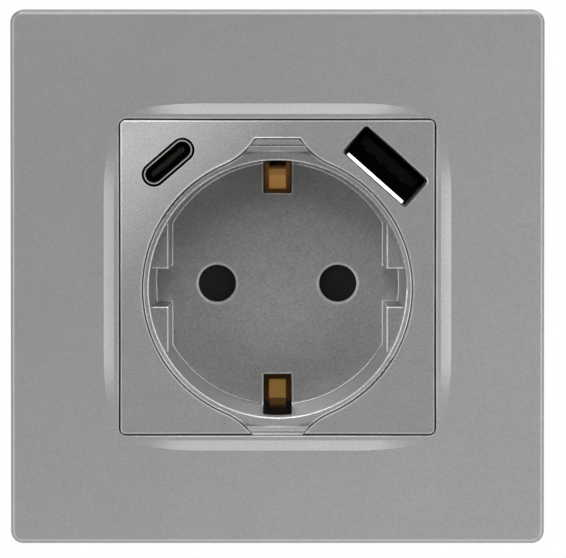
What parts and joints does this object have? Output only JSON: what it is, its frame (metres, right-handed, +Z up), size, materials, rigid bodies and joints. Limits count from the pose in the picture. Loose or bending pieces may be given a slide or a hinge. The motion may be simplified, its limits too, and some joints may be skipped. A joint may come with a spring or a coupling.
{
  "type": "usb wall socket",
  "caption": "Flush-mounted round recessed earthed wall socket with a USB-A and a USB-C port in a square silver cover frame.",
  "frame": {"origin": "centre of the square cover frame on the wall plane, which is the middle of the two box screw holes", "axes": "+Z up, +X to the right seen from the room, +Y into the wall"},
  "size_m": [0.083, 0.0464, 0.083],
  "materials": {
    "frame_paint": "satin silver paint on moulded plastic",
    "plate_paint": "fine metallic silver paint on moulded plastic",
    "ring_steel": "zinc-plated sheet",
    "base_plastic": "light grey thermoset",
    "inner_plastic": "grey moulded plastic",
    "dark_plastic": "black moulded plastic",
    "spring_steel": "drawn wire",
    "brass": "rolled strip",
    "screw_steel": "zinc-plated",
    "shell_steel": "bright nickel plating",
    "gilt": "gold-plated strip",
    "board": "green glass-fibre laminate",
    "supply_plastic": "black moulded plastic",
    "ferrite": "sintered ferrite",
    "tape": "yellow insulating tape",
    "can": "sleeved can"
  },
  "bodies": {
    "socket": {"outer_frame": "frame_paint", "cover_plate": "plate_paint", "socket_insert": "plate_paint", "support_ring": "ring_steel", "socket_base": "base_plastic", "shutter_retainer": "inner_plastic", "shutter_spring": "spring_steel", "earth_strap": "brass", "left_contact": "brass", "right_contact": "brass", "left_terminal": "brass", "right_terminal": "brass", "earth_terminal": "brass", "left_terminal_screw": "screw_steel", "right_terminal_screw": "screw_steel", "earth_terminal_screw": "screw_steel", "left_assembly_screw": "screw_steel", "right_assembly_screw": "screw_steel", "left_claw_pin": "screw_steel", "right_claw_pin": "screw_steel", "usb_a_shell": "shell_steel", "usb_a_tongue": "dark_plastic", "usb_a_contacts": "gilt", "usb_c_shell": "shell_steel", "usb_c_tongue": "dark_plastic", "usb_c_contacts": "gilt", "usb_board": "board", "link_pins": "gilt", "power_housing": "supply_plastic", "power_board": "board", "transformer_core": "ferrite", "transformer_coil": "tape", "input_capacitor": "can", "output_capacitor": "can", "choke": "ferrite", "controller_chip": "dark_plastic"},
    "shutter": {"shutter": "dark_plastic"},
    "left_claw": {"left_claw": "ring_steel"},
    "right_claw": {"right_claw": "ring_steel"},
    "left_claw_screw": {"left_claw_screw": "screw_steel"},
    "right_claw_screw": {"right_claw_screw": "screw_steel"}
  },
  "joints": [
    {"name": "shutter_turn", "type": "hinge", "parent": "socket", "child": "shutter", "pos_m": [0, 0.0095, -0.0018], "axis": [0, 1, 0], "range_deg": [0, 46], "stiffness_Nm_per_rad": 0.004, "springref_deg": -5.73},
    {"name": "left_claw_screw_turn", "type": "hinge", "parent": "socket", "child": "left_claw_screw", "pos_m": [-0.0272, 0.005, 0], "axis": [0, 1, 0], "range_deg": [0, 1080]},
    {"name": "left_claw_swing", "type": "hinge", "parent": "socket", "child": "left_claw", "pos_m": [-0.0244, 0.0095, 0], "axis": [0, 0, 1], "range_deg": [0, 25]},
    {"name": "right_claw_screw_turn", "type": "hinge", "parent": "socket", "child": "right_claw_screw", "pos_m": [0.0272, 0.005, 0], "axis": [0, 1, 0], "range_deg": [0, 1080]},
    {"name": "right_claw_swing", "type": "hinge", "parent": "socket", "child": "right_claw", "pos_m": [0.0244, 0.0095, 0], "axis": [0, 0, -1], "range_deg": [0, 25]}
  ],
  "couplings": [
    {"joint": "left_claw_screw_turn", "follows": "left_claw_swing", "ratio": 43.19},
    {"joint": "right_claw_screw_turn", "follows": "right_claw_swing", "ratio": 43.19}
  ]
}
